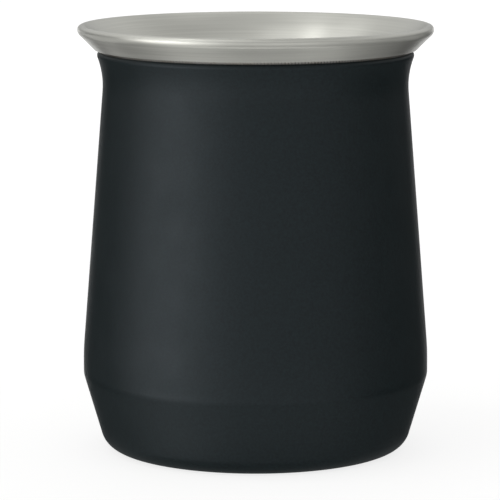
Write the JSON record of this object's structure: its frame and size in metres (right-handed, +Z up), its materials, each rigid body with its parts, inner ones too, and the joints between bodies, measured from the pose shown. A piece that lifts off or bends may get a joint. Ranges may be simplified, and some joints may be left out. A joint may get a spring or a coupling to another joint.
{
  "type": "mate cup",
  "caption": "Round double-walled steel mate cup with a flared bare rim, a drawn-in neck, a matt coated body and a tapered foot, for holding tea leaves and hot water.",
  "frame": {"origin": "middle of the resting ring, on the plane that the cup stands on", "axes": "+Z up along the cup's axis, out of its mouth; the cup is round, and -Y faces the camera of the picture"},
  "size_m": [0.089, 0.089, 0.107],
  "materials": {
    "satin_steel": "bare stainless steel, spun and satin polished",
    "black_coat": "matt black powder coat over stainless steel",
    "weld_metal": "raw stainless weld bead",
    "copper_foil": "bright rolled copper foil",
    "getter_alloy": "sintered grey metal powder",
    "spring_steel": "rolled spring steel strip",
    "seal_glass": "fused sealing glass"
  },
  "bodies": {
    "root": {"rim": "satin_steel", "body_shell": "black_coat", "bottom_cap": "black_coat", "inner_cup": "satin_steel", "mouth_weld": "weld_metal", "neck_weld": "weld_metal", "cap_weld": "weld_metal", "foil_wrap": "copper_foil", "getter": "getter_alloy", "getter_clip": "spring_steel", "seal_bead": "seal_glass", "base_disc": "satin_steel"}
  },
  "joints": []
}
